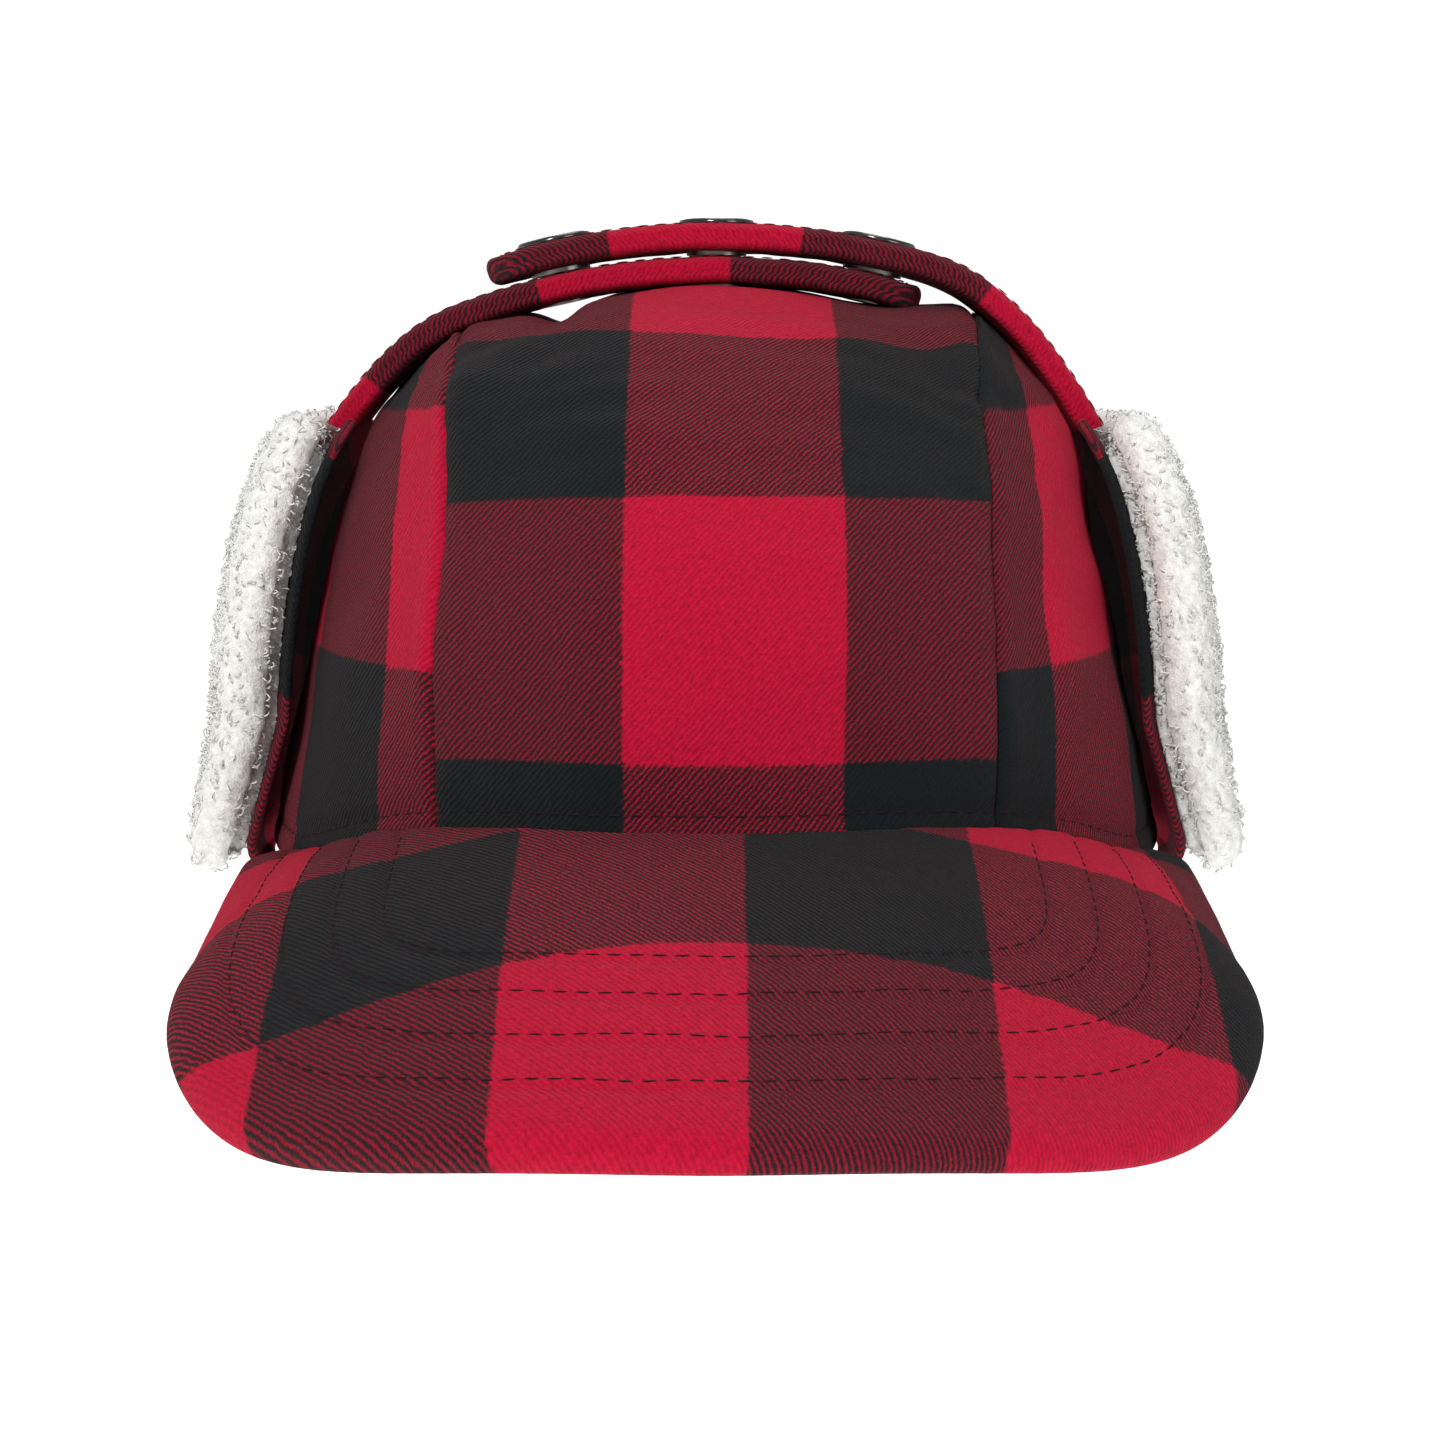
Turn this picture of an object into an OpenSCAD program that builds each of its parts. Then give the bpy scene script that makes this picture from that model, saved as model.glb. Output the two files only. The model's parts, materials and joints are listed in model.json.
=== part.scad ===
// Trapper hat: a soft three-panel crown with a quilted lining, a stiffened visor, and two fleece-lined
// ear flaps turned up against the crown, whose straps cross over the top and close with three snaps.
// The front of the hat faces -Y and the wearer's left is +X. Millimetres.

/* [Crown] */
// Half the outer width of the crown at its rim
crown_half_w = 91; // [86:0.5:96]
// Half the outer length of the crown at its rim
crown_half_l = 112; // [106:0.5:118]
// Height of the crown above its rim
crown_h = 110; // [104:0.5:116]
// Half the width of the centre panel that runs from front to back
panel_half_w = 49.5; // [46:0.5:56]
// Height of the rim's arch at the front, over the visor
arch_h = 13; // [8:1:16]
// Thickness of the wool
wool_t = 2.2; // [1.5:0.1:3]
// Thickness of the quilted lining
lining_t = 3.4; // [2:0.1:4.5]

/* [Visor] */
// Reach of the visor in front of the crown
visor_l = 75; // [60:1:78]
// Half the greatest width of the visor
visor_half_w = 91; // [88:0.5:95]
// Drop of the visor's front edge below the front rim
visor_drop = 34; // [25:0.5:40]
// Thickness of the stiffening board
board_t = 2; // [1.5:0.1:2.5]

/* [Ear flaps] */
// Half the length of a flap along its fold
flap_half_l = 45; // [38:1:46]
// Half the width of a flap where its strap begins
flap_tip_half_w = 14; // [13.5:0.5:18]
// Thickness of the fleece pile
fleece_t = 11.2; // [6:0.2:13]

/* [Straps and snaps] */
// Width of a strap
strap_w = 26; // [22:1:27]
// Thickness of a strap
strap_t = 4.6; // [3.5:0.1:5]
// Distance between snaps
snap_pitch = 31.5; // [28:0.5:32]
// Radius of a snap cap
cap_r = 7.5; // [6:0.5:8]

/* [Hidden] */

plaid_red = "firebrick";
wool_dark = [0.07, 0.07, 0.09];
layer_gap = 0.2;
lining_in = wool_t + layer_gap;
band_in = lining_in + lining_t + 2.5 * layer_gap;
band_t = 1.2;
band_h = 30;
arch_span = 66;           // plan angle from the front to each end of the visor, degrees
side_taper = 0.26;
end_taper = 0.05;
top_clear = 4;            // plan angle left at the top of a side panel, degrees

flap_gap = 0.6;           // between the crown and a flap that lies against it
flap_bow = 0.0004;        // how much a flap follows the crown's curve, per millimetre
flap_wrap = 7;            // how far a flap's front and back edges turn in towards the crown
wrap_rise = 0.3;          // the share of a flap, from its fold, over which that turn builds up
flap_bottom = -1.5;       // dome angles of the flap's fold and tip, degrees
flap_top = 49;
flap_mid_y = 10;          // middle of the fold, and how far forward the tip leans
flap_lean_y = 14;
strap_mid_y = flap_mid_y - flap_lean_y;

under_gap = 1.2;          // between the crown and the lower strap, filled by the snap posts
between_gap = 2;          // between the two straps, filled by the studs and sockets
lower_r = 140;            // radius of each strap's inner face over the top of the crown
upper_r = lower_r + strap_t + between_gap;
lower_base = crown_h + under_gap;
upper_base = lower_base + strap_t + between_gap;
upper_bend_x = 44;        // where each strap's tip joins its root
lower_bend_x = 52;
upper_end_x = -46;        // free ends of the straps, at the middle of their rounding
lower_end_x = 41;
seg_gap = 0.8;            // between a strap's root and its tip
seat_gap = 0.2;           // between a flat snap part and the curved underside of its strap
stem_r = 2;
hole_r = stem_r + 0.05;
snap_xs = [-snap_pitch, 0, snap_pitch];
stud_xs = [for (x = snap_xs) x * lower_r / (lower_r + strap_t)];  // so that each stud meets its socket

// ---- the dome that every layer follows ----

function width_at(t) = (1 - side_taper * t) * pow(max(0, 1 - pow(max(t, 0), 10)), 0.6);
function length_at(t) = (1 - end_taper * max(t, 0)) * pow(max(0, 1 - pow(max(t, 0), 3.2)), 0.4545);

// The share of the height at which the dome, taken in by d, is x wide each side
function height_for(x, d, lo = 0, hi = 1, n = 24) =
  n == 0 ? (lo + hi) / 2 :
  let (mid = (lo + hi) / 2)
    (crown_half_w - d) * width_at(mid) > abs(x) ?
      height_for(x, d, mid, hi, n - 1) : height_for(x, d, lo, mid, n - 1);

// Rim height at a plan angle from the front
function rim_z(a) = abs(a) < arch_span ? arch_h * pow(1 - pow(a / arch_span, 4), 2) : 0;

// A point of the dome taken in by d, at plan angle a from +X towards +Y and share t of the height
function dome(a, t, d) = [
  (crown_half_w - d) * width_at(t) * cos(a), (crown_half_l - d) * length_at(t) * sin(a), (crown_h - d) * t
];

// A point of the centre strip at x: turn runs from 0 at the front rim to 180 at the back rim
function strip_point(x, turn, d, top = 1) =
  let (
    t_max = height_for(x, d),
    t_rim = turn < 90 ? rim_z(asin(x / crown_half_w)) / crown_h : 0,
    t = t_rim + (t_max - t_rim) * sin(turn) * top,
    across = sqrt(max(0, 1 - pow(x / ((crown_half_w - d) * width_at(t)), 2)))
  )
  [x, -sign(cos(turn)) * (crown_half_l - d) * length_at(t) * across, (crown_h - d) * t];

// A point of the left side panel: u runs from the front seam to the back seam and v from rim to top
function side_point(u, v, d) =
  let (
    w = panel_half_w,
    t_top = height_for(w / cos(top_clear), d),
    a_rim = (2 * u - 1) * acos(w / (crown_half_w - d)),
    t_rim = rim_z(90 + a_rim) / crown_h,
    t = t_rim + (t_top - t_rim) * v,
    a = (2 * u - 1) * acos(min(1, w / ((crown_half_w - d) * width_at(t))))
  )
  dome(a, t, d);

// ---- solids between two grids of points ----

function flat(rows) = [for (row = rows) each row];

// A closed slab between an outer and an inner grid with the same numbers of rows and columns
module slab(outer, inner) {
  n = len(outer);
  m = len(outer[0]);
  far = n * m;
  ring = concat(
    [for (j = [0 : m - 1]) j],
    [for (i = [1 : n - 1]) i * m + m - 1],
    [for (j = [m - 2 : -1 : 0]) (n - 1) * m + j],
    [for (i = [n - 2 : -1 : 1]) i * m]
  );
  count = len(ring);
  faces = concat(
    [for (i = [0 : n - 2], j = [0 : m - 2]) each [
      [i * m + j, i * m + j + 1, (i + 1) * m + j + 1], [i * m + j, (i + 1) * m + j + 1, (i + 1) * m + j]]],
    [for (i = [0 : n - 2], j = [0 : m - 2]) each [
      [far + i * m + j, far + (i + 1) * m + j + 1, far + i * m + j + 1],
      [far + i * m + j, far + (i + 1) * m + j, far + (i + 1) * m + j + 1]]],
    [for (k = [0 : count - 1]) let (a = ring[k], b = ring[(k + 1) % count]) each [
      [a, far + a, far + b], [a, far + b, b]]]
  );
  polyhedron(concat(flat(outer), flat(inner)), faces, convexity = 6);
}

module strip_panel(d_out, d_in, turns, columns) {
  function grid(d) = [for (i = [0 : turns]) [
    for (j = [0 : columns]) strip_point(panel_half_w * (2 * j / columns - 1), 180 * i / turns, d)]];
  slab(grid(d_out), grid(d_in));
}

module side_panel(d_out, d_in, columns, rows) {
  function grid(d) = [for (i = [0 : rows]) [
    for (j = [0 : columns]) side_point(j / columns, pow(i / rows, 0.8), d)]];
  slab(grid(d_out), grid(d_in));
}

// ---- crown ----

module crown_center_panel() { color(plaid_red) strip_panel(0, wool_t, 40, 10); }
module crown_left_panel() { color(plaid_red) side_panel(0, wool_t, 22, 16); }
module crown_right_panel() { mirror([1, 0, 0]) crown_left_panel(); }
module lining_center_panel() { color("black") strip_panel(lining_in, lining_in + lining_t, 32, 12); }
module lining_left_panel() { color("black") side_panel(lining_in, lining_in + lining_t, 18, 12); }
module lining_right_panel() { mirror([1, 0, 0]) lining_left_panel(); }

module sweatband() {
  steps = 72;
  function ring(d, h) = [for (k = [0 : steps - 1])
    let (a = 360 * k / steps, rim = rim_z(a > 180 ? a - 270 : 999)) dome(a, (rim + h) / crown_h, d)];
  inside = band_in + band_t;
  loops = [ring(band_in, 0), ring(band_in, band_h), ring(inside, band_h), ring(inside, 0)];
  faces = [for (i = [0 : 3], k = [0 : steps - 1])
    let (a = i * steps + k, b = i * steps + (k + 1) % steps, c = ((i + 1) % 4) * steps + (k + 1) % steps,
         e = ((i + 1) % 4) * steps + k) each [[a, c, b], [a, e, c]]];
  color("black") polyhedron(flat(loops), faces, convexity = 6);
}

// ---- visor ----

side_share = 0.25;        // the share of the visor's edge that runs along each side
side_y = -110;            // where the sides meet the rounded front
corner_x_power = 1.1;     // powers that shape the front corners, across and ahead
corner_y_power = 0.69;
rear_z = -2;              // height of the visor's rear corners
side_lift = 7.5;          // how much higher the sides are than the middle of the front edge
edge_dip = 14;            // how strongly the front edge dips towards its corners
visor_bulge = 5;          // how far the middle of the visor rises above a straight line
cover_gap = 0.25;         // between the board and each cover

// Outer edge of the visor, u from -1 at one rear corner to 1 at the other
function edge_point(u) =
  let (
    k = abs(u), s = sign(u),
    turn = 90 * min(1, k / (1 - side_share)),
    q = max(0, (k - 1 + side_share) / side_share),
    tip_z = arch_h - visor_drop,
    side_z = tip_z + side_lift
  )
  q > 0 ?
    [s * visor_half_w, side_y + (crown_half_l * -cos(arch_span) - side_y) * q,
     side_z + (rear_z - side_z) * q] :
    [s * visor_half_w * pow(sin(turn), corner_x_power),
     side_y - (crown_half_l + visor_l + side_y) * pow(cos(turn), corner_y_power),
     tip_z - edge_dip * pow(sin(turn), 3) + (side_lift + edge_dip) * pow(sin(turn), 8)];

function seam_point(u) =
  let (a = arch_span * u) [(crown_half_w + 0.4) * sin(a), -(crown_half_l + 0.4) * cos(a), rim_z(a)];

function visor_point(u, v, lift, inset = 0) =
  let (
    a = seam_point(u), b = edge_point(u), w = v * (1 - inset),
    bulge = visor_bulge * sin(180 * w) * (1 - pow(abs(u), 4))
  )
  a + (b - a) * w + [0, 0, lift + bulge];

// A layer of the visor between two heights, ending short of the edge by a share of its reach
module visor_layer(low, high, inset) {
  across = 36;
  out = 10;
  // Columns are bunched towards the front corners, where the edge turns most
  function grid(lift) = [for (j = [0 : out]) [
    for (i = [-across / 2 : across / 2]) visor_point(0.995 * 2 * i / across, j / out, lift, inset)]];
  slab(grid(low), grid(high));
}

module visor_board() { color("white") visor_layer(-board_t / 2, board_t / 2, 0.05); }
module visor_top_cover() { color(plaid_red) visor_layer(board_t / 2 + cover_gap, board_t / 2 + wool_t, 0); }
module visor_under_cover() {
  color(plaid_red) visor_layer(-board_t / 2 - wool_t, -board_t / 2 - cover_gap, 0);
}

// ---- ear flaps ----

// Width of the line that a flap follows, at a share t of the crown's height: it stands off the crown's sides
function flap_width_at(t) = (1 - 0.1 * t) * pow(1 - pow(t, 4), 0.435);

// A flap's line seen from the front, at an angle from the rim, moved outwards by off
function outline(a, off) =
  let (
    p = [crown_half_w * flap_width_at(sin(a)), crown_h * sin(a)],
    q = [crown_half_w * flap_width_at(sin(a + 0.5)), crown_h * sin(a + 0.5)],
    along = (q - p) / norm(q - p)
  )
  p + off * [along[1], -along[0]];

function flap_half(s) =
  flap_tip_half_w + (flap_half_l - flap_tip_half_w) * pow(max(0, 1 - pow(s, 2.2)), 0.6);

pile_end = 0.93;          // the share of a flap, from its fold, that the pile covers

// A point of the left flap: s runs from fold to tip, u from the front edge to the back edge
function flap_point(s, u, off, inset = 0) =
  let (
    half = max(flap_half(s) - inset, 2),
    from_mid = half * u,
    wrap = flap_wrap * min(1, s / wrap_rise) / (flap_half_l * flap_half_l),
    p = outline(flap_bottom + (flap_top - flap_bottom) * s, off)
  )
  [p[0] - (flap_bow + wrap) * from_mid * from_mid, flap_mid_y - flap_lean_y * s + from_mid, p[1]];

module flap_layer(near, far, edge) {
  rows = 16;
  columns = 14;
  // The outer face is drawn in at the edges, so that the pile has a rounded border
  function grid(off, round) = [for (i = [0 : rows]) [for (j = [0 : columns])
    let (s = pow(i / rows, 0.85) * (edge > 0 ? pile_end : 1), u = sin(90 * (2 * j / columns - 1)))
    flap_point(round ? 0.03 + 0.92 * s : s, u, off, round ? edge : 0)]];
  slab(grid(far, edge > 0), grid(near, false));
}

module left_flap_shell() { color(plaid_red) flap_layer(flap_gap, flap_gap + wool_t, 0); }
module left_flap_fleece() {
  color("ivory") flap_layer(flap_gap + wool_t + 0.1, flap_gap + wool_t + fleece_t, 3);
}
module right_flap_shell() { mirror([1, 0, 0]) left_flap_shell(); }
module right_flap_fleece() { mirror([1, 0, 0]) left_flap_fleece(); }

// ---- straps ----

// Middle of a strap over the top of the crown: base is the height of its inner face, r that face's radius
function arc_mid(x, base, r) =
  let (m = r + strap_t / 2) [x, base - r + sqrt(m * m - x * x)];

function bezier(a, b, c, s) = (1 - s) * (1 - s) * a + 2 * s * (1 - s) * b + s * s * c;

// Both edges of a ribbon of thickness strap_t along a line of points
function ribbon_edge(line, side) = [for (i = [0 : len(line) - 1])
  let (
    a = line[max(i - 1, 0)], b = line[min(i + 1, len(line) - 1)],
    along = (b - a) / norm(b - a)
  )
  line[i] + side * strap_t / 2 * [-along[1], along[0]]];

module ribbon(line) {
  outer = ribbon_edge(line, 1);
  inner = ribbon_edge(line, -1);
  translate([0, strap_mid_y + strap_w / 2, 0]) rotate([90, 0, 0]) linear_extrude(strap_w)
    polygon(concat(outer, [for (i = [len(inner) - 1 : -1 : 0]) inner[i]]));
}

// The stretch of strap over the top, from its joint at x_joint to a rounded free end
module strap_tip(base, r, x_joint, x_end) {
  s = sign(x_joint - x_end);
  steps = 16;
  x_start = x_joint - s * seg_gap;
  x_far = x_end + s * strap_w / 2;
  intersection() {
    ribbon([for (i = [0 : steps]) arc_mid(x_start + (x_end - x_start) * i / steps, base, r)]);
    union() {
      translate([x_far, strap_mid_y, 0]) cylinder(h = 400, r = strap_w / 2, $fn = 64);
      translate([min(x_far, x_joint), strap_mid_y - strap_w / 2 - 1, 0])
        cube([abs(x_joint - x_far), strap_w + 2, 400]);
    }
  }
}

// Line of the left strap's root, from its joint over the crown's shoulder down to the flap's tip
function root_line(base, r, x_joint, elbow) =
  let (
    a = arc_mid(x_joint, base, r),
    c = outline(flap_top + 1.2, flap_gap + strap_t / 2),
    steps = 12
  )
  [for (i = [0 : steps]) bezier(a, elbow, c, i / steps)];

upper_elbow = [58, 109];
lower_elbow = [62, 99.6];

// Frame of a strap at x: origin on its inner face, +Z along its outward normal
module on_strap(x, base, r) {
  centre = base - r;
  tilt = asin(x / r);
  translate([0, strap_mid_y, centre]) rotate([0, tilt, 0]) translate([0, 0, r]) children();
}

module snap_holes(xs, base, r) {
  for (x = xs) on_strap(x, base, r) translate([0, 0, -2]) cylinder(h = strap_t + 4, r = hole_r, $fn = 32);
}

module left_strap_root() {
  color(plaid_red) ribbon(root_line(upper_base, upper_r, upper_bend_x, upper_elbow));
}
module left_strap_tip() {
  color(plaid_red) difference() {
    strap_tip(upper_base, upper_r, upper_bend_x, upper_end_x);
    snap_holes(snap_xs, upper_base, upper_r);
  }
}
module right_strap_root() {
  color(plaid_red) mirror([1, 0, 0]) ribbon(root_line(lower_base, lower_r, lower_bend_x, lower_elbow));
}
module right_strap_tip() {
  color(plaid_red) difference() {
    mirror([1, 0, 0]) strap_tip(lower_base, lower_r, lower_bend_x, -lower_end_x);
    snap_holes(stud_xs, lower_base, lower_r);
  }
}

// ---- snaps ----

cap_h = 1.6;
socket_r = 6;
socket_h = 1;
socket_bore = 2.8;
socket_bore_h = 0.7;
stud_r = 5.5;
stud_flange = 0.45;
stud_h = 1;
post_h = 0.5;

// Cap on the upper strap, with its stem down through the wool
module snap_cap(i) {
  color(wool_dark) on_strap(snap_xs[i], upper_base, upper_r) {
    translate([0, 0, strap_t]) rotate_extrude($fn = 64)
      polygon([[0, 0], [cap_r, 0], [cap_r, 0.7], [cap_r - 0.7, 1.25], [cap_r - 3, 1.5], [0, cap_h]]);
    cylinder(h = strap_t, r = stem_r, $fn = 32);
  }
}

// Ring under the upper strap that takes the stud
module snap_socket(i) {
  color("silver") on_strap(snap_xs[i], upper_base, upper_r) translate([0, 0, -socket_h - seat_gap])
    difference() {
      cylinder(h = socket_h, r = socket_r, $fn = 64);
      translate([0, 0, -1]) cylinder(h = 1 + socket_bore_h, r = socket_bore, $fn = 48);
    }
}

// Flange and low round stud on the lower strap
module snap_stud(i) {
  color("silver") on_strap(stud_xs[i], lower_base, lower_r) translate([0, 0, strap_t])
    rotate_extrude($fn = 64) polygon([
      [0, 0], [stud_r, 0], [stud_r, stud_flange], [2, stud_flange], [1.8, stud_flange + 0.6],
      [1.2, stud_flange + stud_h], [0, stud_flange + stud_h]
    ]);
}

// Rivet that holds the stud from below, its stem up through the wool
module snap_post(i) {
  color("silver") on_strap(stud_xs[i], lower_base, lower_r) {
    translate([0, 0, -post_h - seat_gap]) cylinder(h = post_h, r = stud_r, $fn = 64);
    translate([0, 0, -seat_gap]) cylinder(h = strap_t + seat_gap, r = stem_r, $fn = 32);
  }
}

crown_center_panel();
crown_left_panel();
crown_right_panel();
lining_center_panel();
lining_left_panel();
lining_right_panel();
sweatband();
visor_board();
visor_top_cover();
visor_under_cover();
left_flap_shell();
left_flap_fleece();
right_flap_shell();
right_flap_fleece();
left_strap_root();
left_strap_tip();
right_strap_root();
right_strap_tip();
for (i = [0 : 2]) {
  snap_cap(i);
  snap_socket(i);
  snap_stud(i);
  snap_post(i);
}
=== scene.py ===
"""Trapper hat: the visual model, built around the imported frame.

Lengths are in millimetres until a mesh is made.
"""

import json
import math
import random

import bpy
import numpy as np
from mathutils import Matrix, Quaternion, Vector, noise
from mathutils.bvhtree import BVHTree

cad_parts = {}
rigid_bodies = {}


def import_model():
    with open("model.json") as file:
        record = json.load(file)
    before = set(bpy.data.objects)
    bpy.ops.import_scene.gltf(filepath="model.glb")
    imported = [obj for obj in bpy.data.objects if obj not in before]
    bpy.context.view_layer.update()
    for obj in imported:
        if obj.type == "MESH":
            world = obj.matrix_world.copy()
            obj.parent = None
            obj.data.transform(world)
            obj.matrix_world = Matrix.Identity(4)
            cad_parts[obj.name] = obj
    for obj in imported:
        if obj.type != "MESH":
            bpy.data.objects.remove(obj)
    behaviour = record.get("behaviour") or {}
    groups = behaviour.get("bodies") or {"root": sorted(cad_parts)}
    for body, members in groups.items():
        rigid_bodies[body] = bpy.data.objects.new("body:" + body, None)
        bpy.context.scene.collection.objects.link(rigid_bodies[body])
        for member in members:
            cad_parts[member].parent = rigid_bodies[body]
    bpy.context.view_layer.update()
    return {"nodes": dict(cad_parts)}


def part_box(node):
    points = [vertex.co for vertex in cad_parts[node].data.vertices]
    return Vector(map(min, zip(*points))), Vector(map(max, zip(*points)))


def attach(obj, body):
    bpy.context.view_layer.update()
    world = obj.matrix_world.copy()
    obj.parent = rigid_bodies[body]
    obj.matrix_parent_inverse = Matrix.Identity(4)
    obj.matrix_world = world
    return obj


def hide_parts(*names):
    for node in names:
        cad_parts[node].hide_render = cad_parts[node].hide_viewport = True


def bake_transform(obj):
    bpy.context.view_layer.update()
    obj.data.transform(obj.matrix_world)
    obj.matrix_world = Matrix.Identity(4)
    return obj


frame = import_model()
random.seed(4)
MM = 0.001
COARSE = 1


def corners(node):
    """Lowest and highest corner of a CAD node, in millimetres."""
    low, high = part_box(node)
    return np.array(low) / MM, np.array(high) / MM


# ---- sizes taken from the frame ----

PANEL_HIGH = corners("crown_center_panel")[1]
HALF_W = corners("crown_left_panel")[1][0]
HALF_L = PANEL_HIGH[1]
HEIGHT = PANEL_HIGH[2]
PANEL_W = PANEL_HIGH[0]
VISOR_LOW, VISOR_HIGH = corners("visor_top_cover")
VISOR_TIP = -VISOR_LOW[1]
VISOR_HALF_W = VISOR_HIGH[0]
FLAP_LOW, FLAP_HIGH = corners("left_flap_shell")
UPPER_LOW, UPPER_HIGH = corners("left_strap_tip")
LOWER_HIGH = corners("right_strap_tip")[1]

# ---- shape values that the frame's boxes cannot give, most of them the part's own ----

WOOL = 2.2
LINING = 3.4
LINING_IN = 2.4
BAND_IN = 6.3
BAND_T = 1.2
BAND_H = 30
ARCH_H = 13
ARCH_SPAN = math.radians(66)
SIDE_TAPER, END_TAPER = 0.26, 0.05
TOP_CLEAR = math.radians(4)
VISOR_DROP = 34
BOARD = 2.0
FLAP_GAP = 0.6
FLAP_BOW = 0.0004
FLAP_WRAP, WRAP_RISE = 7, 0.3
FLAP_BOTTOM, FLAP_TOP = -1.5, 49.0
FLAP_MID_Y = (FLAP_LOW[1] + FLAP_HIGH[1]) / 2
FLAP_HALF_L = (FLAP_HIGH[1] - FLAP_LOW[1]) / 2
FLAP_LEAN_Y = 14
FLAP_TIP_HALF = 14
FLEECE = 11.2
STRAP_T = 4.6
STRAP_PUFF = 0.45  # how far the soft wool of a strap stands out on each face
STRAP_W = UPPER_HIGH[1] - UPPER_LOW[1]
STRAP_Y = (UPPER_LOW[1] + UPPER_HIGH[1]) / 2
LOWER_R, UPPER_R = 140, 146.6
LOWER_BASE = HEIGHT + 1.2
UPPER_BASE = LOWER_BASE + STRAP_T + 2
UPPER_BEND_X, LOWER_BEND_X = 44, 52
UPPER_END_X, LOWER_END_X = UPPER_LOW[0], LOWER_HIGH[0]
UPPER_ELBOW, LOWER_ELBOW = (58, 109), (62, 99.6)
CAP_PITCH = 31.5
CAP_R = 7.5

CHECK_W, CHECK_H = 38.2, 48.0  # one square of the plaid, across and along the cloth


# ---- the dome that every layer follows ----


def width_at(t):
    return (1 - SIDE_TAPER * t) * np.maximum(0, 1 - np.maximum(t, 0) ** 10) ** 0.6


def length_at(t):
    t = np.maximum(t, 0)
    return (1 - END_TAPER * t) * np.maximum(0, 1 - t**3.2) ** 0.4545


def height_for(x, d):
    """Share of the height at which the dome, taken in by d, is x wide each side."""
    x = np.abs(np.asarray(x, float))
    low, high = np.zeros_like(x), np.ones_like(x)
    for _ in range(30):
        mid = (low + high) / 2
        wide = (HALF_W - d) * width_at(mid) > x
        low, high = np.where(wide, mid, low), np.where(wide, high, mid)
    return (low + high) / 2


def rim_z(a):
    """Rim height at a plan angle from the front, in radians."""
    q = np.minimum(1, np.abs(a) / ARCH_SPAN)
    return ARCH_H * (1 - q**4) ** 2


def strip_point(x, turn, d):
    """Centre strip: turn runs from 0 at the front rim to pi at the back rim."""
    t_max = height_for(x, d)
    t_rim = np.where(turn < math.pi / 2, rim_z(np.arcsin(x / HALF_W)) / HEIGHT, 0)
    t = t_rim + (t_max - t_rim) * np.sin(turn)
    across = np.sqrt(np.maximum(0, 1 - (x / ((HALF_W - d) * width_at(t))) ** 2))
    y = -np.sign(np.cos(turn)) * (HALF_L - d) * length_at(t) * across
    return np.stack([x + 0 * t, y, (HEIGHT - d) * t], -1)


def side_point(u, v, d):
    """Left side panel: u runs from the front seam to the back seam and v from rim to top."""
    t_top = height_for(np.array(PANEL_W / math.cos(TOP_CLEAR)), d)
    a_rim = (2 * u - 1) * math.acos(PANEL_W / (HALF_W - d))
    t_rim = rim_z(math.pi / 2 + a_rim) / HEIGHT
    t = t_rim + (t_top - t_rim) * v
    a = (2 * u - 1) * np.arccos(np.minimum(1, PANEL_W / ((HALF_W - d) * width_at(t))))
    x = (HALF_W - d) * width_at(t) * np.cos(a)
    y = (HALF_L - d) * length_at(t) * np.sin(a)
    return np.stack([x, y, (HEIGHT - d) * t], -1)


def flap_width_at(t):
    return (1 - 0.1 * t) * (1 - t**4) ** 0.435


def outline(angle, off):
    """A flap's line seen from the front, at an angle in degrees from the rim, moved outwards by off."""

    def at(deg):
        s = np.sin(np.radians(deg))
        return np.stack([HALF_W * flap_width_at(s), HEIGHT * s], -1)

    p, q = at(angle), at(angle + 0.5)
    along = (q - p) / np.linalg.norm(q - p, axis=-1, keepdims=True)
    return p + np.asarray(off)[..., None] * np.stack([along[..., 1], -along[..., 0]], -1)


# ---- mesh building ----


def make_piece(name, verts, faces, material, cloth=None, flat_faces=0):
    """A mesh object from millimetre points. cloth holds each point's place on the cut cloth."""
    mesh = bpy.data.meshes.new(name)
    mesh.from_pydata((np.asarray(verts) * MM).tolist(), [], faces)
    mesh.validate()
    smooth = np.ones(len(mesh.polygons), bool)
    if flat_faces:
        smooth[-flat_faces:] = False
    mesh.polygons.foreach_set("use_smooth", smooth)
    if cloth is not None:
        flat = np.asarray(cloth, float)
        full = np.zeros((len(flat), 3))
        full[:, : flat.shape[1]] = flat
        mesh.attributes.new("cloth", "FLOAT_VECTOR", "POINT").data.foreach_set("vector", full.ravel())
    mesh.update()
    obj = bpy.data.objects.new(name, mesh)
    bpy.context.scene.collection.objects.link(obj)
    obj.data.materials.append(material)
    return obj


def grid_normals(grid):
    du = np.gradient(grid, axis=1)
    dv = np.gradient(grid, axis=0)
    n = np.cross(du, dv)
    return n / np.maximum(np.linalg.norm(n, axis=-1, keepdims=True), 1e-9)


def border_distance(grid):
    """How far each point of a grid is from the nearest edge, along the rows and columns."""
    row = np.linalg.norm(np.diff(grid, axis=1), axis=-1)
    col = np.linalg.norm(np.diff(grid, axis=0), axis=-1)
    left = np.concatenate([np.zeros((len(grid), 1)), np.cumsum(row, 1)], 1)
    low = np.concatenate([np.zeros((1, grid.shape[1])), np.cumsum(col, 0)], 0)
    return left, left[:, -1:] - left, low, low[-1:] - low


def rounded(distance, r):
    """Share of the full thickness at a distance from a rounded edge of radius r."""
    q = np.clip(distance / r, 0, 1)
    return np.sqrt(np.maximum(0, 1 - (1 - q) ** 2))


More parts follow.
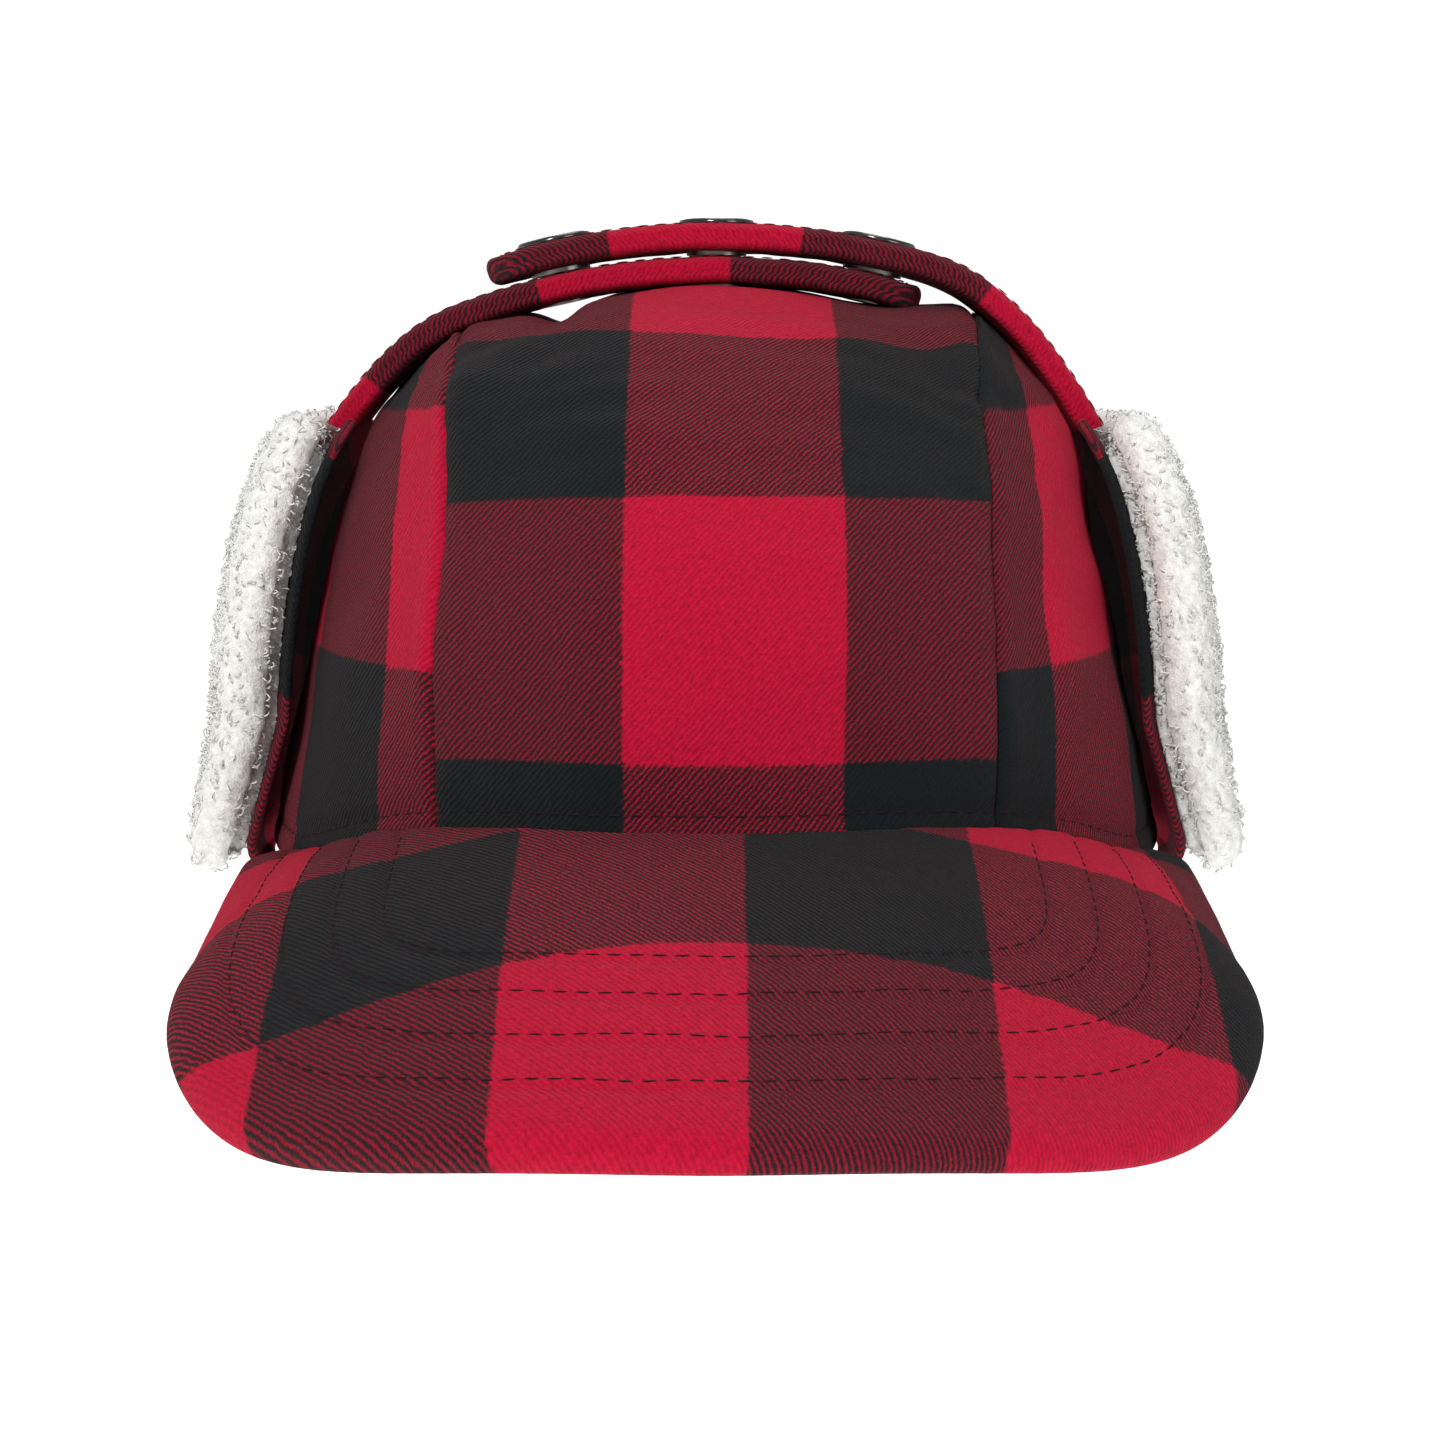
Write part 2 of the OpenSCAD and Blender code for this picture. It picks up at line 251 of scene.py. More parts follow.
def bunched(count, length, edge):
    """Parameters from 0 to 1 that are closer together within edge of both ends."""
    e = edge / length
    start = e * np.array([0, 0.04, 0.15, 0.35, 0.65])
    return np.concatenate([start, np.linspace(e, 1 - e, count), 1 - start[::-1]])


def pillow(mid, half, flip=False, normals=None):
    """Points and faces of a closed form between mid - half and mid + half. half is zero on the border."""
    n, m = half.shape
    normals = grid_normals(mid) if normals is None else normals
    if flip:
        normals = -normals
    top = mid + normals * half[..., None]
    low = mid - normals * half[..., None]
    index = np.arange(n * m).reshape(n, m)
    under = index.copy()
    inner = (n - 2) * (m - 2)
    under[1:-1, 1:-1] = n * m + np.arange(inner).reshape(n - 2, m - 2)
    verts = np.concatenate([top.reshape(-1, 3), low[1:-1, 1:-1].reshape(-1, 3)])
    faces = []
    for ids, reverse in ((index, flip), (under, not flip)):
        a, b, c, d = ids[:-1, :-1], ids[:-1, 1:], ids[1:, 1:], ids[1:, :-1]
        quads = np.stack([a, b, c, d], -1).reshape(-1, 4)
        if reverse:
            quads = quads[:, ::-1]
        faces += quads.tolist()
    return verts, faces


def both_sides(values):
    """A grid of values laid out as pillow() lays out its points."""
    size = values.shape[-1]
    return np.concatenate([values.reshape(-1, size), values[1:-1, 1:-1].reshape(-1, size)])


def each_noise(points, size, seed=0.0):
    """Smooth noise from -1 to 1 at each point."""
    flat = points.reshape(-1, 3) / size + seed
    return np.array([noise.noise(Vector(p)) for p in flat]).reshape(points.shape[:-1])


def loft_faces(loops, sides):
    """Faces between loops of points, each loop joined to the next."""
    faces = []
    for i in range(loops - 1):
        for k in range(sides):
            j = (k + 1) % sides
            faces.append([i * sides + k, i * sides + j, (i + 1) * sides + j, (i + 1) * sides + k])
    return faces


def tube(points, radius, sides):
    """A closed tube along points, thinner towards its ends."""
    pts = np.asarray(points, float)
    n = len(pts)
    t = np.gradient(pts, axis=0)
    t /= np.maximum(np.linalg.norm(t, axis=1, keepdims=True), 1e-9)
    ref = np.array([0, 0, 1.0]) if abs(t[0][2]) < 0.9 else np.array([1.0, 0, 0])
    verts = []
    for i in range(n):
        a = np.cross(t[i], ref)
        a /= max(np.linalg.norm(a), 1e-9)
        b = np.cross(t[i], a)
        r = radius * math.sin(math.pi * (0.12 + 0.76 * i / (n - 1)))
        for k in range(sides):
            w = 2 * math.pi * k / sides
            verts.append(pts[i] + r * (math.cos(w) * a + math.sin(w) * b))
    faces = loft_faces(n, sides)
    faces.append(list(range(sides))[::-1])
    faces.append([(n - 1) * sides + k for k in range(sides)])
    return verts, faces


def join_parts(parts):
    verts, faces = [], []
    for v, f in parts:
        base = len(verts)
        verts += list(v)
        faces += [[base + i for i in face] for face in f]
    return verts, faces


# ---- materials ----

WHITE = (1, 1, 1, 1)


class Shader:
    """A short way to write a node material."""

    def __init__(self, name):
        self.material = bpy.data.materials.new(name)
        self.material.use_nodes = True
        self.tree = self.material.node_tree
        self.surface = self.tree.nodes["Principled BSDF"]

    def node(self, kind, **settings):
        n = self.tree.nodes.new(kind)
        for key, value in settings.items():
            setattr(n, key, value)
        return n

    def link(self, source, target):
        self.tree.links.new(source, target)

    def feed(self, socket, value):
        if isinstance(value, (int, float, tuple)):
            socket.default_value = value
        else:
            self.link(value, socket)

    def math(self, operation, a, b=0.0):
        n = self.node("ShaderNodeMath", operation=operation)
        for socket, value in zip(n.inputs, (a, b)):
            self.feed(socket, value)
        return n.outputs[0]

    def times(self, a, b):
        return self.math("MULTIPLY", a, b)

    def plus(self, a, b):
        return self.math("ADD", a, b)

    def about_zero(self, value, size):
        """A value from 0 to 1 moved to lie around zero, times a size."""
        return self.times(self.math("SUBTRACT", value, 0.5), size)

    def stripes(self, value, pitch):
        """A wave from -1 to 1 that repeats at a pitch."""
        return self.math("SINE", self.times(value, 2 * math.pi / pitch))

    def noise(self, vector, scale, detail=2.0, roughness=0.5):
        n = self.node("ShaderNodeTexNoise")
        self.feed(n.inputs["Vector"], vector)
        n.inputs["Scale"].default_value = scale
        n.inputs["Detail"].default_value = detail
        n.inputs["Roughness"].default_value = roughness
        return n.outputs["Fac"]

    def mix(self, factor, a, b):
        n = self.node("ShaderNodeMix", data_type="RGBA")
        self.feed(n.inputs["Factor"], factor)
        self.feed(n.inputs["A"], a)
        self.feed(n.inputs["B"], b)
        return n.outputs["Result"]

    def remap(self, value, low, high):
        """0 below low, 1 above high, and in a straight line between them."""
        n = self.node("ShaderNodeMapRange", clamp=True)
        for socket, v in zip(n.inputs, (value, low, high)):
            self.feed(socket, v)
        return n.outputs[0]

    def bump(self, height, distance, strength):
        n = self.node("ShaderNodeBump")
        n.inputs["Strength"].default_value = strength
        n.inputs["Distance"].default_value = distance
        self.link(height, n.inputs["Height"])
        return n.outputs["Normal"]

    def cloth(self):
        """Millimetres across and along the cut cloth."""
        place = self.node("ShaderNodeAttribute", attribute_name="cloth")
        apart = self.node("ShaderNodeSeparateXYZ")
        self.link(place.outputs["Vector"], apart.inputs[0])
        return place.outputs["Vector"], apart.outputs[0], apart.outputs[1]

    def object_place(self):
        return self.node("ShaderNodeTexCoord").outputs["Object"]

    def finish(
        self, color, normal, roughness, sheen=0.0, specular=0.2, metallic=0.0, coat=0.0, sheen_tint=WHITE
    ):
        s = self.surface.inputs
        self.feed(s["Base Color"], color)
        s["Roughness"].default_value = roughness
        s["Sheen Weight"].default_value = sheen
        s["Sheen Roughness"].default_value = 0.45
        s["Sheen Tint"].default_value = sheen_tint
        s["Specular IOR Level"].default_value = specular
        s["Metallic"].default_value = metallic
        s["Coat Weight"].default_value = coat
        s["Coat Roughness"].default_value = 0.06
        if normal is not None:
            self.link(normal, s["Normal"])
        return self.material


RED = (0.58, 0.005, 0.040, 1)
DARK_RED = (0.27, 0.003, 0.018, 1)
BLACK = (0.004, 0.007, 0.008, 1)
GREY = (0.022, 0.030, 0.033, 1)
TWILL_PITCH = 1.12
TWILL_STEEP = 0.86  # how steeply the twill's diagonal climbs


def plaid_wool():
    """Brushed wool twill in a buffalo plaid: red and black bands both ways, mixed on the diagonal."""
    m = Shader("plaid_wool")
    place, u, v = m.cloth()
    wander = m.about_zero(m.noise(place, 0.9, 2.0), 1.6)
    diagonal = m.math("DIVIDE", m.math("SUBTRACT", m.times(v, TWILL_STEEP), u), TWILL_PITCH)
    uneven = m.about_zero(m.noise(place, 0.4, 3.0), 0.9)
    wave = m.stripes(m.plus(diagonal, uneven), 1)

    def band(value, size):
        turned = m.math("SINE", m.times(m.plus(value, wander), math.pi / size))
        return m.remap(turned, -0.025, 0.025)

    warp, weft = band(u, CHECK_W), band(v, CHECK_H)
    fibres = m.noise(place, 2.6, 4.0, 0.7)
    share = m.remap(m.plus(m.times(wave, 0.42), m.about_zero(fibres, 2.4)), -0.8, 0.8)
    red = m.plus(m.times(warp, share), m.times(weft, m.math("SUBTRACT", 1.0, share)))
    fleck = m.remap(m.noise(place, 5.5, 3.0, 0.75), 0.42, 0.75)
    tufts = m.noise(place, 0.9, 3.0, 0.75)
    # The reds' lighter and darker tone is random fibre mottling, and the twill wave added to it paints shade
    # along the diagonal ribs
    lit = m.plus(m.times(fibres, 0.55), m.times(tufts, 0.45))
    reds = m.mix(m.remap(m.plus(lit, m.times(wave, 0.05)), 0.33, 0.62), DARK_RED, RED)
    blacks = m.mix(m.times(fleck, 0.5), BLACK, GREY)
    color = m.mix(m.math("POWER", m.remap(red, 0.06, 0.94), 2.4), blacks, reds)
    height = m.plus(m.times(wave, 0.5), m.times(fibres, 1.6))
    height = m.plus(height, m.noise(place, 6.0, 3.0, 0.7))
    normal = m.bump(height, 0.0003, 0.85)
    return m.finish(color, normal, 0.95, sheen=0.05, specular=0.08, sheen_tint=(1.0, 0.7, 0.7, 1))


def fleece_pile():
    m = Shader("fleece_pile")
    place = m.object_place()
    curls = m.noise(place, 700, 3.0, 0.65)
    fine = m.noise(place, 2600, 3.0, 0.7)
    # The tone is partly random curl-to-curl variation and partly painted shade: it follows the curls that
    # raise the bump, greyer where the pile dips between curls
    tone = m.remap(m.plus(m.times(curls, 0.7), m.times(fine, 0.3)), 0.3, 0.62)
    color = m.mix(tone, (0.56, 0.55, 0.51, 1), (0.84, 0.84, 0.81, 1))
    height = m.plus(curls, m.times(fine, 0.6))
    return m.finish(color, m.bump(height, 0.0009, 0.7), 0.9, sheen=0.5, specular=0.25)


def quilted_satin():
    m = Shader("quilted_satin")
    place, u, _ = m.cloth()
    slub = m.noise(place, 1.2, 3.0)
    color = m.mix(slub, (0.008, 0.008, 0.010, 1), (0.022, 0.022, 0.027, 1))
    height = m.plus(m.times(m.stripes(u, 0.35), 0.2), slub)
    return m.finish(color, m.bump(height, 0.0001, 0.5), 0.38, sheen=0.1, specular=0.5)


def woven_tape():
    m = Shader("woven_tape")
    place, u, v = m.cloth()
    lint = m.noise(place, 2.0, 3.0, 0.7)
    color = m.mix(lint, (0.010, 0.010, 0.012, 1), (0.035, 0.035, 0.040, 1))
    height = m.plus(m.times(m.stripes(v, 0.9), 0.5), m.plus(m.times(m.stripes(u, 0.6), 0.3), lint))
    return m.finish(color, m.bump(height, 0.00018, 0.7), 0.75, sheen=0.15, specular=0.3)


def stitch_thread(name, color):
    m = Shader(name)
    plies = m.noise(m.object_place(), 1800, 2.0)
    lighter = tuple(min(1.0, c * 2.2) for c in color[:3]) + (1,)
    return m.finish(m.mix(plies, color, lighter), m.bump(plies, 0.0001, 0.6), 0.7, specular=0.12)


def snap_enamel():
    m = Shader("snap_enamel")
    specks = m.noise(m.object_place(), 900, 3.0, 0.7)
    color = m.mix(m.remap(specks, 0.45, 0.7), (0.004, 0.011, 0.009, 1), (0.010, 0.024, 0.020, 1))
    return m.finish(color, m.bump(specks, 0.00004, 0.4), 0.2, specular=0.6, coat=0.7)


def snap_nickel():
    m = Shader("snap_nickel")
    scuffs = m.noise(m.object_place(), 500, 5.0, 0.7)
    color = m.mix(scuffs, (0.20, 0.19, 0.18, 1), (0.42, 0.41, 0.39, 1))
    return m.finish(color, m.bump(scuffs, 0.00003, 0.4), 0.32, specular=0.5, metallic=1.0)


def visor_plastic():
    m = Shader("visor_plastic")
    grain = m.noise(m.object_place(), 300, 4.0)
    color = m.mix(grain, (0.62, 0.62, 0.60, 1), (0.74, 0.74, 0.72, 1))
    return m.finish(color, m.bump(grain, 0.0001, 0.5), 0.5)


WOOL_CLOTH = plaid_wool()
PILE = fleece_pile()
SATIN = quilted_satin()
TAPE = woven_tape()
DARK_THREAD = stitch_thread("dark_thread", (0.012, 0.004, 0.005, 1))
RED_THREAD = stitch_thread("red_thread", (0.07, 0.004, 0.008, 1))
ENAMEL = snap_enamel()
NICKEL = snap_nickel()
PLASTIC = visor_plastic()


# ---- crown ----

SEAM_R = 2.4  # how far a seam rounds a panel's edge over
TOPSTITCH_UP = 5.5  # the row of stitches above the rim
CENTER_RUN = 330  # length of the centre panel's cloth over the head
SIDE_RUN, SIDE_UP = 190, 110  # length and height of a side panel's cloth
QUILT = 24  # a diamond of the lining's quilting, from corner to corner
BAND_MEAN_R = 97  # the radius of a ring about as long as the sweatband


def crown_swell(points, from_seam):
    """How far the crown's soft wool stands out or in: slack, folds and puckers at the seams."""
    y, z = points[..., 1], points[..., 2]
    share = np.clip(z / HEIGHT, 0, 1)
    slack = 1.8 * each_noise(points, 48, 3.1) + 1.0 * each_noise(points, 19, 8.2)
    stretched = points * np.array([0.45, 1.0, 1.6])
    folds = 0.9 * each_noise(stretched, 9, 5.7) * np.clip((share - 0.45) * 3, 0.15, 1)
    pucker = 0.35 * each_noise(points * np.array([0.5, 1.0, 1.0]), 3.6, 1.3) * np.exp(-((from_seam / 7) ** 2))
    calm = np.clip((z - 4) / 24, 0.12, 1)
    under_strap = np.exp(-(((y - STRAP_Y) / 17) ** 2)) * np.clip((share - 0.72) * 6, 0, 1)
    swell = calm * (slack + folds) + pucker
    return swell - 0.6 - under_strap * np.clip(swell + 0.2, 0, 3)


def shoulder_dents(points):
    """Creases, dents and rises of the crown where its wool has slumped or is held up."""
    total = np.zeros(points.shape[:-1])
    for (cx, cy, cz), (sx, sy, sz), depth in (
        ((-31, 6, 106), (4.5, 60, 9), 3.6),
        ((44, -52, 97), (9, 16, 7), 2.4),
        ((-46, -62, 88), (7, 14, 16), -1.9),
        ((50, -70, 80), (6, 10, 16), -1.2),
        ((0, 62, 98), (30, 16, 10), 2.2),
        ((0, 18, 109), (34, 50, 12), -1.9),
        ((50, 6, 102), (13, 46, 12), -6.0),
        ((-50, 4, 100), (12, 44, 11), -2.8),
        ((57, -78, 60), (3, 12, 26), 1.6),
        ((65, -70, 52), (3, 12, 26), -1.3),
        ((-59, -76, 58), (3, 12, 24), 1.5),
        ((-51, -84, 48), (2.6, 10, 22), -1.0),
        ((-24, -104, 40), (5, 12, 22), -0.9),
        ((68, -6, 84), (9, 40, 12), -1.8),
    ):
        away = ((points - np.array([cx, cy, cz])) / np.array([sx, sy, sz])) ** 2
        total -= depth * np.exp(-away.sum(-1))
    return total


def arc_places(grid, axis):
    """Distance along one axis of a grid, from its first row or column."""
    step = np.linalg.norm(np.diff(grid, axis=axis), axis=-1)
    start = np.zeros((1, grid.shape[1])) if axis == 0 else np.zeros((grid.shape[0], 1))
    return np.concatenate([start, np.cumsum(step, axis)], axis)


def crown_panel(name, grid, cloth, seam_distance, flip):
    """One soft wool panel of the crown, swollen, creased and rounded over at its seams."""
    n = grid_normals(grid)
    left, right, low, high = border_distance(grid)
    from_rim = low if name != "crown_center" else np.minimum(low, high)
    groove = -0.55 * np.exp(-(((from_rim - TOPSTITCH_UP) / 1.3) ** 2))
    swell = crown_swell(grid, seam_distance) + shoulder_dents(grid) + groove
    seam_ridge = 0.5 * np.exp(-(((seam_distance - 3.2) / 2.4) ** 2))
    swell = swell + seam_ridge * np.clip(from_rim / 10, 0, 1)
    mid = grid + (-n if flip else n) * swell[..., None]
    edge = np.minimum.reduce((left, right, low, high))
    half = WOOL / 2 * rounded(edge, SEAM_R)
    verts, faces = pillow(mid, half, flip, n)
    return make_piece(name, verts, faces, WOOL_CLOTH, both_sides(cloth))


def center_grid(d, across, along):
    us = bunched(across, 2 * PANEL_W, SEAM_R)
    vs = bunched(along, CENTER_RUN, SEAM_R)
    x, turn = np.meshgrid(PANEL_W * (2 * us - 1), math.pi * vs)
    return strip_point(x, turn, d)


def side_grid(d, across, up):
    us = bunched(across, SIDE_RUN, SEAM_R)
    vs = bunched(up, SIDE_UP, SEAM_R)
    u, v = np.meshgrid(us, vs**0.85)
    return side_point(u, v, d)


def mirrored(grid):
    return grid * np.array([-1, 1, 1])


FIRST_COLUMN = -15.8  # where the centre panel's red column starts, and where its first row ends
FIRST_ROW = 14.3
SIDE_COLUMN = 16.5  # the first column of a side panel, from its front seam
SIDE_ROW = 40.5  # height of the first row's end on a side panel


def make_crown():
    grid = center_grid(WOOL / 2, 70, 210)
    seam = PANEL_W - np.abs(grid[..., 0])
    # The rows run level with the front rim and, past the top, level with the back rim
    walked = arc_places(grid, 0)
    behind = np.clip((np.linspace(0, 1, len(grid)) - 0.4) / 0.5, 0, 1)[:, None]
    walked = walked + (walked[-1].max() - walked[-1:]) * behind * behind * (3 - 2 * behind)
    cloth = np.stack([grid[..., 0] - FIRST_COLUMN, walked - FIRST_ROW], -1)
    center = crown_panel("crown_center", grid, cloth, seam, False)
    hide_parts("crown_center_panel")
    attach(center, "crown")
    for side, sign in (("left", 1), ("right", -1)):
        grid = side_grid(WOOL / 2, 110, 64)
        left, right, _, high = border_distance(grid)
        cloth = np.stack([left - SIDE_COLUMN, (grid[..., 2] - SIDE_ROW) * 1.05], -1)
        seam = np.minimum(np.minimum(left, right), high + 3)
        if sign < 0:
            grid = mirrored(grid)
            cloth = cloth * np.array([-1, 1])
        panel = crown_panel(f"crown_{side}", grid, cloth, seam, sign < 0)
        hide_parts(f"crown_{side}_panel")
        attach(panel, "crown")


def quilt(places):
    """Puffs of a diamond quilting, 0 on the sewn lines and 1 between them."""
    a = places[..., 0] + places[..., 1]
    b = places[..., 0] - places[..., 1]
    return np.sqrt(np.abs(np.sin(math.pi * a / QUILT) * np.sin(math.pi * b / QUILT)))


def lining_panel(name, grid, flip):
    left, right, low, high = border_distance(grid)
    edge = np.minimum.reduce((left, right, low, high))
    middle = grid.shape[1] // 2
    places = np.stack([left - left[:, middle : middle + 1], low], -1)
    half = (0.5 + 1.15 * quilt(places)) * rounded(edge, 2.5)
    # Where the wool has slumped inwards, the lining gives way with it
    n = grid_normals(grid) * (-1 if flip else 1)
    grid = grid + n * np.minimum(0, shoulder_dents(grid))[..., None]
    verts, faces = pillow(grid, half, flip)
    obj = make_piece(name, verts, faces, SATIN, both_sides(places))
    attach(obj, "crown")
    return obj


def make_lining():
    d = LINING_IN + LINING / 2
    center = lining_panel("lining_center", center_grid(d, 60, 170), False)
    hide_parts("lining_center_panel")
    for side, sign in (("left", 1), ("right", -1)):
        grid = side_grid(d, 90, 54)
        panel = lining_panel(f"lining_{side}", grid if sign > 0 else mirrored(grid), sign < 0)
        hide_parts(f"lining_{side}_panel")


def dome_ring(d, above_rim, steps):
    """A line round the dome that follows its rim, at a height above it."""
    a = np.linspace(0, 2 * math.pi, steps, endpoint=False)
    front = np.where(a > math.pi, a - 1.5 * math.pi, 9.0)
    rim = np.where(a > math.pi, rim_z(front), 0)
    t = (rim + above_rim) / HEIGHT
    x = (HALF_W - d) * width_at(t) * np.cos(a)
    y = (HALF_L - d) * length_at(t) * np.sin(a)
    return np.stack([x, y, (HEIGHT - d) * t], -1)


def make_sweatband():
    """A woven tape inside the rim, softly rolled at its edges."""
    steps, around = 220, 16
    loops, cloth = [], []
    for k in range(around):
        w = 2 * math.pi * k / around
        across = math.copysign(abs(math.cos(w)) ** 0.5, math.cos(w))
        thick = math.copysign(abs(math.sin(w)) ** 0.8, math.sin(w))
        h = BAND_H / 2 + (BAND_H / 2) * across
        loops.append(dome_ring(BAND_IN + BAND_T / 2 + 0.6 * thick, h, steps))
        length = np.arange(steps) * 2 * math.pi * BAND_MEAN_R / steps
        cloth.append(np.stack([length, np.full(steps, h)], -1))
    grid = np.array(loops)
    ripple = 0.25 * each_noise(grid, 7, 2.2)
    inward = -grid / np.linalg.norm(grid * [1, 1, 0], axis=-1, keepdims=True) * [1, 1, 0]
    grid = grid + inward * ripple[..., None]
    faces = []
    for k in range(around):
        for i in range(steps):
            j, n = (i + 1) % steps, (k + 1) % around
            faces.append([k * steps + i, k * steps + j, n * steps + j, n * steps + i])
    band = make_piece("sweatband_tape", grid.reshape(-1, 3), faces, TAPE, np.array(cloth).reshape(-1, 2))
    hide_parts("sweatband")
    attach(band, "crown")


# ---- stitching ----

STITCH, STITCH_GAP, STITCH_R = 2.7, 0.9, 0.17


def lengths_along(line):
    """Distance of every point of a line from its first, along the line."""
    return np.concatenate([[0], np.cumsum(np.linalg.norm(np.diff(line, axis=0), axis=1))])


def resample(line, spacing):
    line = np.asarray(line, float)
    s = lengths_along(line)
    at = np.arange(0, s[-1], spacing)
    return np.stack([np.interp(at, s, line[:, k]) for k in range(3)], -1)


def stitches(name, lines, material, body):
    """Rows of separate stitches along lines that lie on the cloth."""
    parts = []
    for line in lines:
        fine = resample(line, (STITCH + STITCH_GAP) / 8)
        for i in range(0, len(fine) - 6, 8):
            run = fine[i : i + 6].copy()
            parts.append(tube(run, STITCH_R, 6))
    verts, faces = join_parts(parts)
    obj = make_piece(name, verts, faces, material)
    if body:
        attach(obj, body)
    return obj


def surface_of(obj):
    mesh = obj.data
    return BVHTree.FromPolygons([v.co[:] for v in mesh.vertices], [p.vertices[:] for p in mesh.polygons])


def laid_on(tree, line, direction, lift=0.12, start=30):
    """A line dropped onto a surface along a direction, both in millimetres."""
    out = []
    ray = Vector(direction).normalized()
    for p in line:
        hit = tree.ray_cast(Vector(p) * MM - ray * start * MM, ray)
        if hit[0] is not None:
            out.append(np.array(hit[0]) / MM - np.array(ray) * lift)
    return out


def make_rim_stitches():
    """Topstitching around the crown, just above its rim."""
    lines = []
    trees = [surface_of(bpy.data.objects[n]) for n in ("crown_center", "crown_left", "crown_right")]
    ring = dome_ring(0, TOPSTITCH_UP, 900)
    for tree in trees:
        run = []
        for p in ring:
            out = Vector((p[0], p[1] * (HALF_W / HALF_L) ** 2, 0)).normalized()
            hit = tree.ray_cast((Vector(p) + out * 12) * MM, -out, 20 * MM)
            if hit[0] is not None:
                run.append(np.array(hit[0]) / MM + np.array(out) * 0.08)
            else:
                lines.append(run)
                run = []
        lines.append(run)
    lines = [run for run in lines if len(run) > 8]
    stitches("rim_stitches", lines, DARK_THREAD, "crown")


# ---- visor ----

SIDE_SHARE, SIDE_Y, REAR_Z = 0.25, -110, -2
CORNER_X_POWER, CORNER_Y_POWER = 1.1, 0.69
SIDE_LIFT, EDGE_DIP, VISOR_BULGE = 7.5, 14, 5
SEAM_TUCK = 3.8
VISOR_RUN = 77  # about the depth of the visor's cloth, from the seam to the edge
VISOR_ROW = 37.5  # where the first row of the plaid ends, from the seam
VISOR_COLUMN = 5.0  # where a column of the plaid starts, from the middle
UNDER_REACH = 0.985  # the under cover stops a little inside the top cover's edge
ROW_INSETS = (10, 18.5, 27, 35.5)  # the four rows of stitches, in from the visor's edge


def edge_line(u):
    """Outer edge of the visor, u from -1 at one rear corner to 1 at the other."""
    k, s = np.abs(u), np.sign(u)
    turn = math.pi / 2 * np.minimum(1, k / (1 - SIDE_SHARE))
    q = np.maximum(0, (k - 1 + SIDE_SHARE) / SIDE_SHARE)
    tip_z = ARCH_H - VISOR_DROP
    side_z = tip_z + SIDE_LIFT
    x = np.where(q > 0, s * VISOR_HALF_W, s * VISOR_HALF_W * np.sin(turn) ** CORNER_X_POWER)
    y_side = SIDE_Y + (-HALF_L * math.cos(ARCH_SPAN) - SIDE_Y) * q
    y_front = SIDE_Y - (VISOR_TIP + SIDE_Y) * np.maximum(np.cos(turn), 0) ** CORNER_Y_POWER
    z_side = side_z + (REAR_Z - side_z) * q
    z_front = tip_z - EDGE_DIP * np.sin(turn) ** 3 + (SIDE_LIFT + EDGE_DIP) * np.sin(turn) ** 8
    return np.stack([x, np.where(q > 0, y_side, y_front), np.where(q > 0, z_side, z_front)], -1)


def seam_line(u):
    """The visor's inner edge, tucked into the wool of the crown's rim."""
    a = ARCH_SPAN * u
    return np.stack([(HALF_W - SEAM_TUCK) * np.sin(a), -(HALF_L - SEAM_TUCK) * np.cos(a), rim_z(a)], -1)


def visor_surface(u, v):
    a, b = seam_line(u), edge_line(u)
    point = a + (b - a) * v[..., None]
    point[..., 2] += VISOR_BULGE * np.sin(math.pi * v) * (1 - np.abs(u) ** 4)
    return point


def plan_distance(points, line):
    """How far each point is from a line of many short stretches, in plan."""
    start, step = line[:-1], np.diff(line, axis=0)
    size = (step * step).sum(1)
    out = []
    for p in points:
        share = np.clip(((p - start) * step).sum(1) / size, 0, 1)
        out.append(np.min(np.linalg.norm(start + step * share[:, None] - p, axis=1)))
    return np.array(out)


def visor_cover(name, node, sign):
    """One wool cover of the visor, pressed down along the rows of stitches and rolled over at its edge."""
    across, out = 210, 84
    us = np.linspace(-0.995, 0.995, across)
    vs = bunched(out, VISOR_RUN, 2.2) * (1 if sign > 0 else UNDER_REACH)
    u, v = np.meshgrid(us, vs)
    lift = sign * (BOARD / 2 + WOOL / 2 + 0.1)
    grid = visor_surface(u, v)
    edge = edge_line(np.linspace(-1, 1, 500))[:, :2]
    flat = grid[..., :2].reshape(-1, 2)
    away = plan_distance(flat, edge).reshape(v.shape)
    rows = sum(np.exp(-(((away - r) / 1.1) ** 2)) for r in ROW_INSETS)
    near_rows = np.clip(rows, 0, 1)
    puff = 0.28 * each_noise(grid, 13, 4.4) + 0.16 * each_noise(grid, 5, 6.4)
    ripple = puff * np.clip(away / 5, 0, 1) - 0.42 * near_rows
    at_rim = -1.1 if sign > 0 else 0.85
    rise = lift * (at_rim + (1 - at_rim) * rounded(away, 4.2)) + sign * ripple
    normals = grid_normals(grid)
    if normals[len(vs) // 2, across // 2, 2] < 0:
        normals = -normals
    mid = grid + normals * rise[..., None]
    left, right, low, high = border_distance(grid)
    rim = np.minimum.reduce((left, right, low, high))
    half = (WOOL / 2 - 0.08) * rounded(rim, 2.0)
    verts, faces = pillow(mid, half, True)
    ahead = -(grid[..., 1] + HALF_L)
    along = 1.055 * ahead + 0.0008 * ahead * np.abs(ahead)
    places = np.stack([grid[..., 0] - VISOR_COLUMN + CHECK_W, along - VISOR_ROW], -1)
    obj = make_piece(name, verts, faces, WOOL_CLOTH, both_sides(places))
    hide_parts(node)
    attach(obj, "crown")
    return obj


